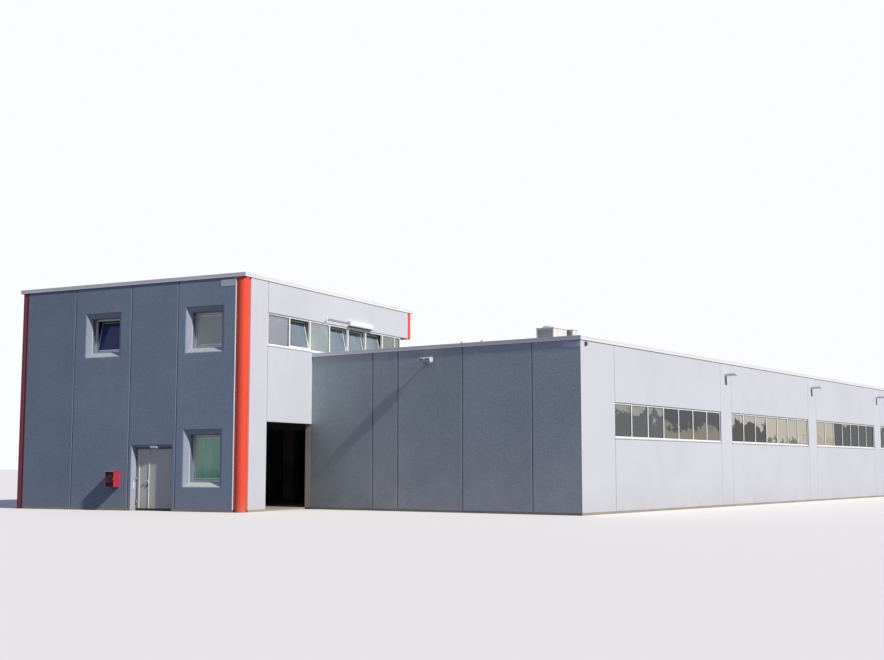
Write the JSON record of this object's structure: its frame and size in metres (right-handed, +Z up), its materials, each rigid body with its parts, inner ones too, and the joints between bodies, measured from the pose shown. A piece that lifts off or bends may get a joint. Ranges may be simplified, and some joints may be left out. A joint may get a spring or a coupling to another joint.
{
  "type": "supermarket building, 1:2 scale model",
  "caption": "Half-size scale model of a concrete supermarket: a long low hall with window ribbons and a taller front block with round red corner columns and hinged entrance doors.",
  "frame": {"origin": "on the ground under the centre of the hall's plan", "axes": "+X to the right along the hall's front, +Y back along the hall's long sides, +Z up"},
  "size_m": [11.239, 23.7283, 3.944],
  "materials": {
    "painted_panel": "painted concrete, matt",
    "bare_concrete": "bare concrete",
    "roofing": "grey roofing felt",
    "coping_metal": "white coated sheet",
    "column_red": "red satin paint",
    "window_white": "white coated aluminium",
    "window_grey": "satin",
    "window_glass": "clear green tint",
    "door_paint": "grey satin paint",
    "unit_white": "white coated sheet",
    "cabinet_red": "red gloss paint",
    "lamp_grey": "light grey cast body"
  },
  "bodies": {
    "building": {"hall_floor": "bare_concrete", "hall_plinth": "bare_concrete", "hall_front_panels": "painted_panel", "hall_side_corner_panels": "painted_panel", "hall_side_piers": "painted_panel", "hall_side_lower_panels": "painted_panel", "hall_side_upper_panels": "painted_panel", "hall_window_frames": "window_white", "hall_glass": "window_glass", "hall_left_panels": "painted_panel", "hall_rear_panels": "painted_panel", "posts": "bare_concrete", "hall_girders": "bare_concrete", "hall_roof": "roofing", "hall_coping": "coping_metal", "block_floor": "bare_concrete", "block_plinth": "bare_concrete", "front_panel_1": "painted_panel", "front_panel_2": "painted_panel", "door_side_panels": "painted_panel", "door_head_panel": "painted_panel", "front_panel_4": "painted_panel", "block_side_panel": "painted_panel", "side_spandrel_panel": "painted_panel", "parapet_panels": "painted_panel", "block_left_panels": "painted_panel", "block_rear_panels": "painted_panel", "corner_columns": "column_red", "upper_floor": "bare_concrete", "block_roof": "roofing", "block_coping": "coping_metal", "ribbon_frame": "window_white", "ribbon_sashes": "window_white", "ribbon_glass": "window_glass", "front_window_frames": "window_grey", "front_window_sash": "window_grey", "front_window_glass": "window_glass", "door_frame": "door_paint", "door_lamp": "unit_white", "hose_cabinet": "cabinet_red", "awning_box": "unit_white", "floodlights": "lamp_grey", "roof_units": "unit_white", "roof_vents": "unit_white"},
    "narrow_door": {"narrow_door_leaf": "door_paint"},
    "wide_door": {"wide_door_leaf": "door_paint"}
  },
  "joints": [
    {"name": "narrow_door_hinge", "type": "hinge", "parent": "building", "child": "narrow_door", "pos_m": [-1.87526, -12.75362, 0.5], "axis": [0, 0, -1], "range_deg": [0, 90]},
    {"name": "wide_door_hinge", "type": "hinge", "parent": "building", "child": "wide_door", "pos_m": [-1.13231, -12.64391, 0.5], "axis": [0, 0, 1], "range_deg": [0, 90]}
  ]
}
